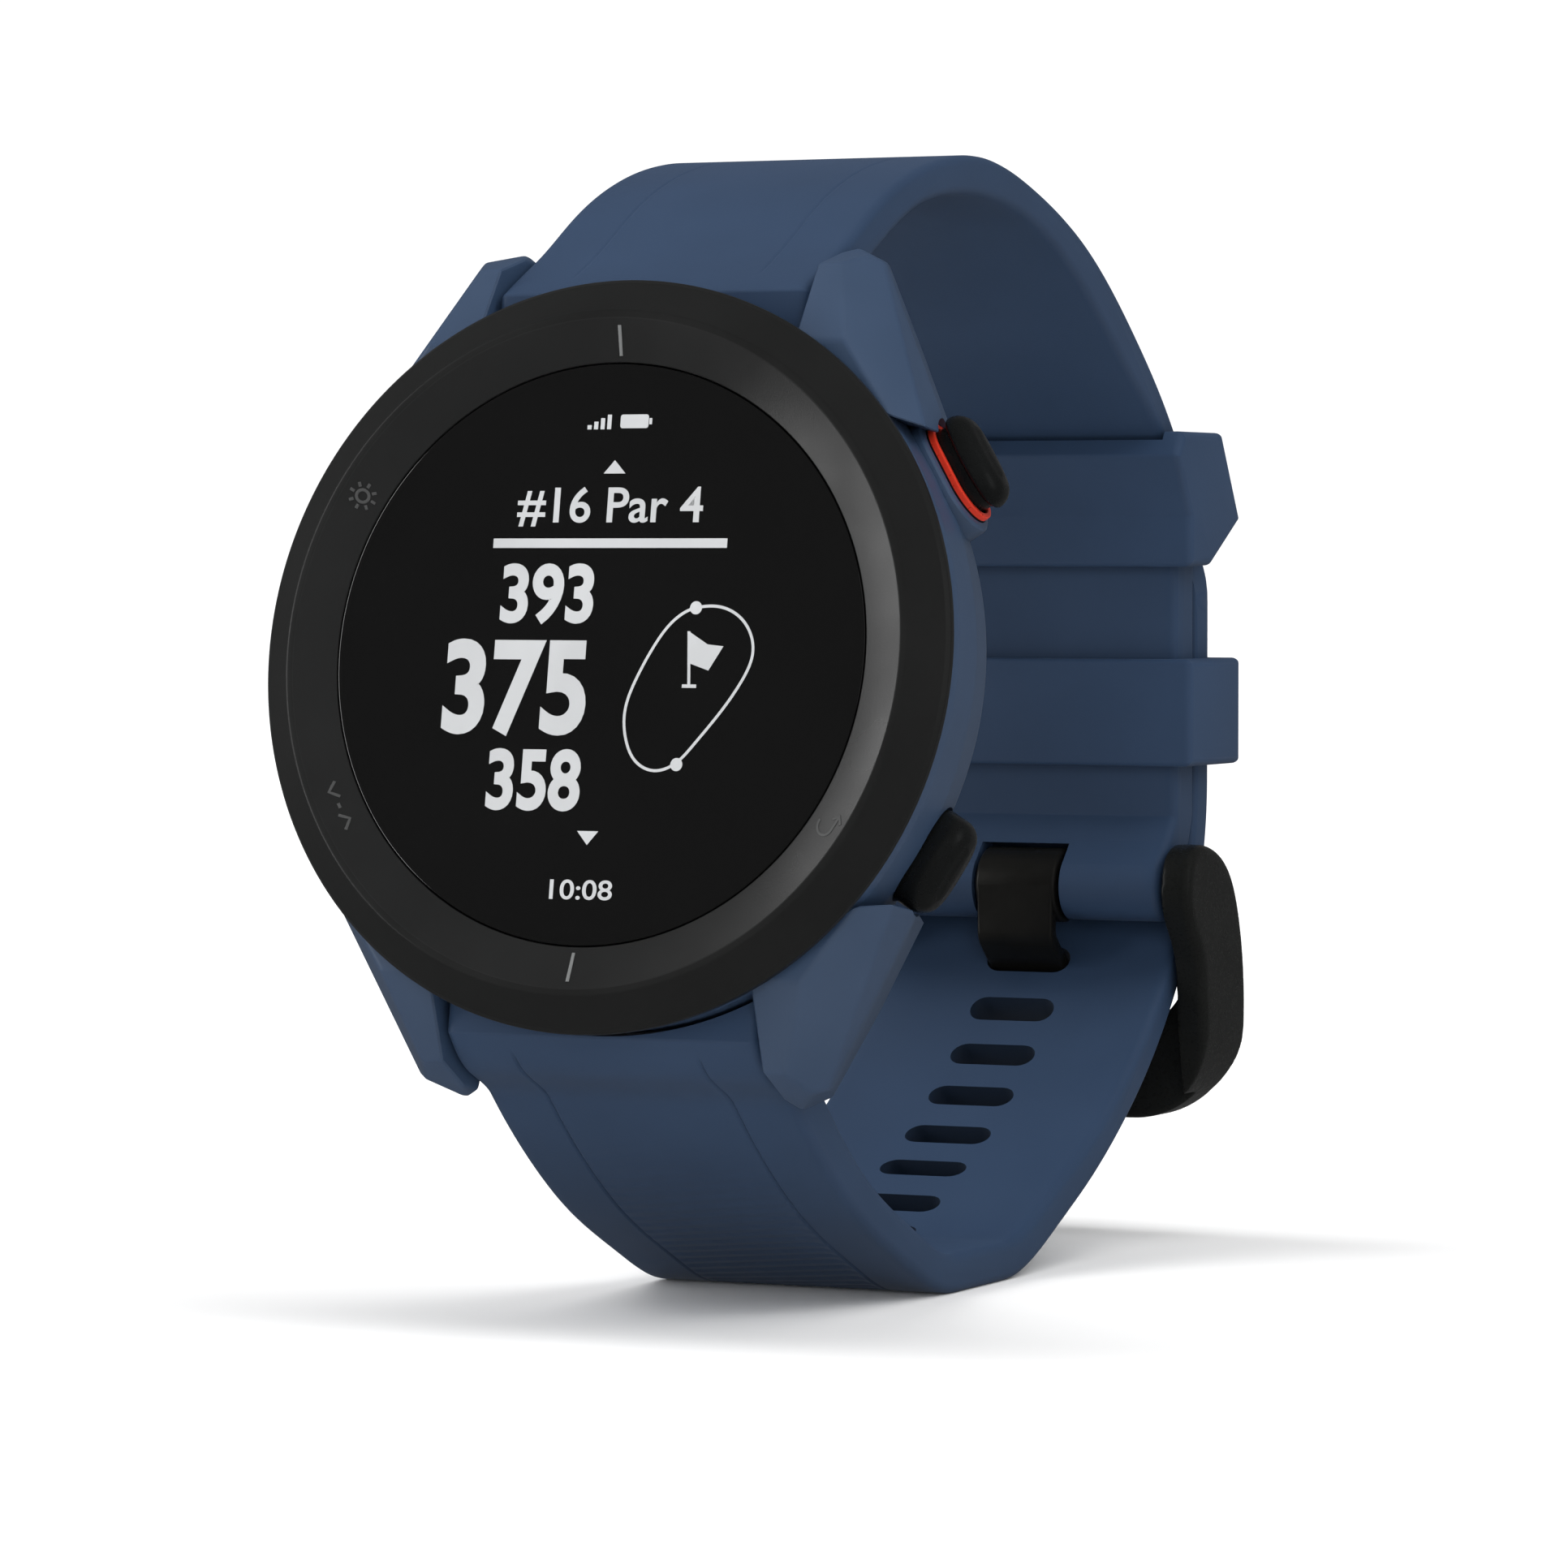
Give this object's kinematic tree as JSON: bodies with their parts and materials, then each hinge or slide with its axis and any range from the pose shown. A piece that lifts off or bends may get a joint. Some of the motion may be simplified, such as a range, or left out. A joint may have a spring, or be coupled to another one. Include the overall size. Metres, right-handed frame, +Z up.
{
  "type": "golf gps watch",
  "caption": "Round golf GPS watch on a fastened buckle strap that stands on its loop, with side push buttons and a screen for distances to the green.",
  "frame": {"origin": "middle of the base, on the surface that the strap loop stands on", "axes": "+X towards the 3 o'clock side, +Y from the dial towards the buckle, +Z up towards 12 o'clock"},
  "size_m": [0.0436, 0.0758, 0.0691],
  "materials": {
    "bezel_black": "satin charcoal, fine grain",
    "lens_glass": "polished",
    "seal_rubber": "matt black",
    "case_blue": "matt navy, moulded",
    "display_black": "dark reflective display",
    "guide_clear": "clear light guide",
    "flex_amber": "amber film",
    "inner_plastic": "moulded black",
    "board_green": "solder mask",
    "ceramic_cream": "ceramic patch antenna",
    "tinned_steel": "tinned",
    "battery_foil": "foil pouch",
    "switch_plastic": "moulded black",
    "back_plastic": "matt black",
    "screw_steel": "blackened steel",
    "port_plastic": "matt black",
    "contact_gold": "gold plated",
    "ring_red": "anodised red-orange",
    "bush_steel": "turned",
    "strap_blue": "matt silicone with fine moulded ridges",
    "keeper_blue": "matt silicone",
    "buckle_black": "satin black",
    "bar_steel": "drawn steel",
    "tongue_black": "black with worn edges",
    "button_black": "satin black"
  },
  "bodies": {
    "watch": {"bezel": "bezel_black", "lens": "lens_glass", "lens_gasket": "seal_rubber", "bezel_gasket": "seal_rubber", "main_case": "case_blue", "display_module": "display_black", "light_guide": "guide_clear", "display_flex": "flex_amber", "inner_frame": "inner_plastic", "main_board": "board_green", "gps_antenna": "ceramic_cream", "shield_can": "tinned_steel", "battery": "battery_foil", "button_switches": "switch_plastic", "back_gasket": "seal_rubber", "back_cover": "back_plastic", "back_cover_screws": "screw_steel", "charging_port": "port_plastic", "charging_contacts": "contact_gold", "select_button_ring": "ring_red", "button_bushes": "bush_steel", "button_seals": "seal_rubber", "upper_strap": "strap_blue", "lower_strap": "strap_blue", "light_button_spring": "bar_steel", "select_button_spring": "bar_steel", "down_button_spring": "bar_steel", "back_button_spring": "bar_steel", "upper_spring_bar": "bar_steel", "upper_bar_spring": "bar_steel", "lower_spring_bar": "bar_steel", "lower_bar_spring": "bar_steel"},
    "light_button": {"light_button": "button_black", "light_button_clip": "screw_steel"},
    "select_button": {"select_button": "button_black", "select_button_clip": "screw_steel"},
    "down_button": {"down_button": "button_black", "down_button_clip": "screw_steel"},
    "back_button": {"back_button": "button_black", "back_button_clip": "screw_steel"},
    "upper_release_tip": {"upper_release_tip": "bar_steel"},
    "lower_release_tip": {"lower_release_tip": "bar_steel"},
    "lower_keeper": {"lower_keeper": "keeper_blue"},
    "upper_keeper": {"upper_keeper": "keeper_blue"},
    "buckle": {"buckle_frame": "buckle_black", "buckle_pin": "bar_steel"},
    "tongue": {"buckle_tongue": "tongue_black"}
  },
  "joints": [
    {"name": "light_button_press", "type": "slide", "parent": "watch", "child": "light_button", "axis": [0.866, -0.0799, -0.4936], "range_m": [0, 0.0005], "stiffness_N_per_m": 600, "deforming": ["light_button_spring"]},
    {"name": "select_button_press", "type": "slide", "parent": "watch", "child": "select_button", "axis": [-0.848, -0.0847, -0.5231], "range_m": [0, 0.0005], "stiffness_N_per_m": 600, "deforming": ["select_button_spring"]},
    {"name": "down_button_press", "type": "slide", "parent": "watch", "child": "down_button", "axis": [0.866, 0.0799, 0.4936], "range_m": [0, 0.0005], "stiffness_N_per_m": 600, "deforming": ["down_button_spring"]},
    {"name": "back_button_press", "type": "slide", "parent": "watch", "child": "back_button", "axis": [-0.866, 0.0799, 0.4936], "range_m": [0, 0.0005], "stiffness_N_per_m": 600, "deforming": ["back_button_spring"]},
    {"name": "upper_tip_release", "type": "slide", "parent": "watch", "child": "upper_release_tip", "axis": [-1, 0, 0], "range_m": [0, 0.0012], "stiffness_N_per_m": 900, "deforming": ["upper_bar_spring"]},
    {"name": "lower_tip_release", "type": "slide", "parent": "watch", "child": "lower_release_tip", "axis": [-1, 0, 0], "range_m": [0, 0.0012], "stiffness_N_per_m": 900, "deforming": ["lower_bar_spring"]},
    {"name": "lower_keeper_slide", "type": "slide", "parent": "watch", "child": "lower_keeper", "axis": [0, 0, 1], "range_m": [-0.0035, 0.0035]},
    {"name": "upper_keeper_slide", "type": "slide", "parent": "watch", "child": "upper_keeper", "axis": [0, 0, 1], "range_m": [-0.001, 0.0004]},
    {"name": "buckle_lift", "type": "hinge", "parent": "watch", "child": "buckle", "pos_m": [0, 0.02916, 0.0231], "axis": [1, 0, 0], "range_deg": [0, 3]},
    {"name": "tongue_lift", "type": "hinge", "parent": "watch", "child": "tongue", "pos_m": [0, 0.02916, 0.0231], "axis": [1, 0, 0], "range_deg": [0, 3]}
  ],
  "couplings": [
    {"joint": "tongue_lift", "follows": "buckle_lift", "ratio": 1}
  ]
}
